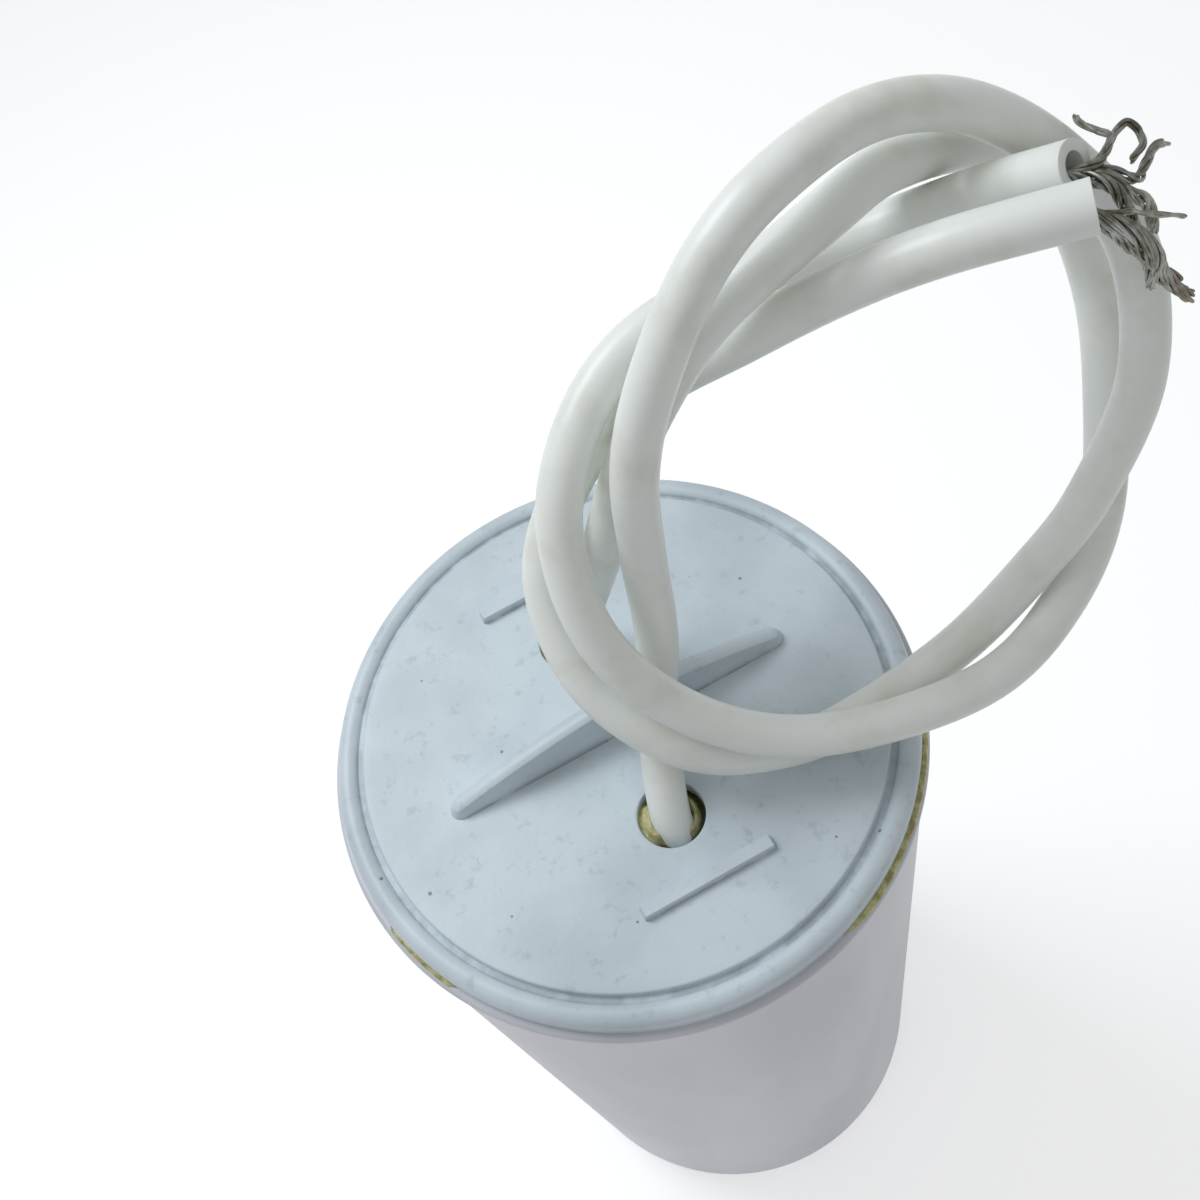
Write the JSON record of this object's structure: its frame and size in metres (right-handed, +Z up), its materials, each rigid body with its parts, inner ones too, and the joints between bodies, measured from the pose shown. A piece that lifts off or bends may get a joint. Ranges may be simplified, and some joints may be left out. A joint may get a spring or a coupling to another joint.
{
  "type": "motor run capacitor",
  "caption": "Round plastic-cased film capacitor with a ribbed lid and flying insulated leads looped into a ring and tied by their bare ends.",
  "frame": {"origin": "centre of the can's flat bottom", "axes": "+Z up the can's axis towards the lid, +X along the lid's barrier rib towards the ring of leads, +Y across it through the second lead hole"},
  "size_m": [0.0648, 0.0456, 0.1361],
  "materials": {
    "case_plastic": "smooth moulded, satin",
    "lid_plastic": "fine moulded, satin, dusty",
    "sealing_glue": "set glue, glossy, yellowish",
    "potting": "cast resin",
    "pad_plastic": "plain",
    "metallised_film": "wound film",
    "mandrel_plastic": "plain",
    "wrap_film": "clear film over white film",
    "sprayed_zinc": "rough sprayed metal",
    "tinned_strap": "tinned",
    "sleeve_plastic": "plain",
    "solder": "solder, satin",
    "lead_insulation": "soft satin insulation",
    "tinned_strands": "tinned copper, dull"
  },
  "bodies": {
    "root": {"case_cup": "case_plastic", "end_cap": "lid_plastic", "seam_glue": "sealing_glue", "potting_resin": "potting", "bottom_pad": "pad_plastic", "film_winding": "metallised_film", "mandrel_tube": "mandrel_plastic", "outer_wrap": "wrap_film", "end_spray_bottom": "sprayed_zinc", "end_spray_top": "sprayed_zinc", "top_insulator": "pad_plastic", "return_strap": "tinned_strap", "strap_sleeve": "sleeve_plastic", "solder_top": "solder", "solder_strap_top": "solder", "solder_strap_bottom": "solder", "lead_seal_a": "sealing_glue", "lead_seal_b": "sealing_glue", "lead_a": "lead_insulation", "lead_b": "lead_insulation", "bare_end_a": "tinned_strands", "bare_end_b": "tinned_strands"}
  },
  "joints": []
}
